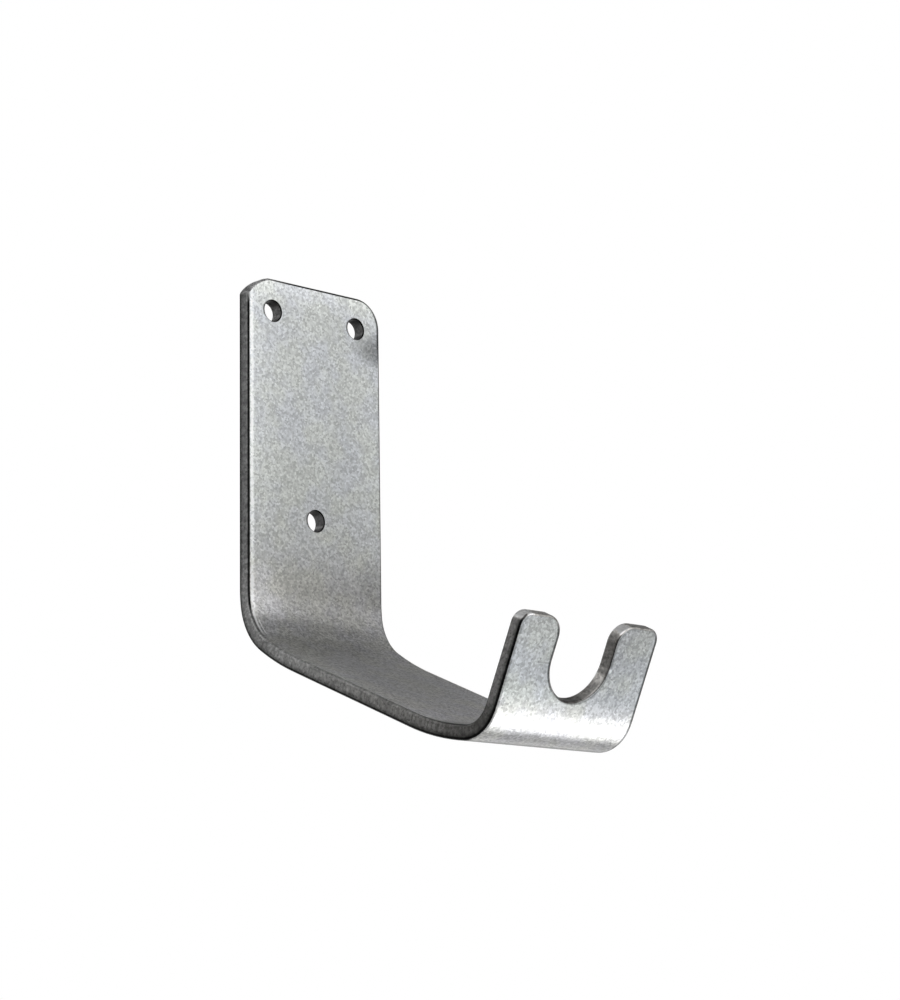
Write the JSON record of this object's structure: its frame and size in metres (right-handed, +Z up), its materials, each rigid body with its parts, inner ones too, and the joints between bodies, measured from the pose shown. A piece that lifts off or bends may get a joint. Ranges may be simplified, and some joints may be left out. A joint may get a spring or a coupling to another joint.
{
  "type": "garage utility hook",
  "caption": "Wall hook folded from one flat steel bar: a back plate with screw holes, a sloping arm and an upturned tip with an open U-shaped notch.",
  "frame": {"origin": "on the wall, at the back face of the plate, halfway between the two top screw holes", "axes": "+Z up; +Y into the wall, square to the back face of the plate, so the hook reaches out towards -Y; +X along the bar's width"},
  "size_m": [0.0508, 0.1141, 0.1437],
  "materials": {
    "zinc_plated_steel": "satin"
  },
  "bodies": {
    "root": {"hook": "zinc_plated_steel"}
  },
  "joints": []
}
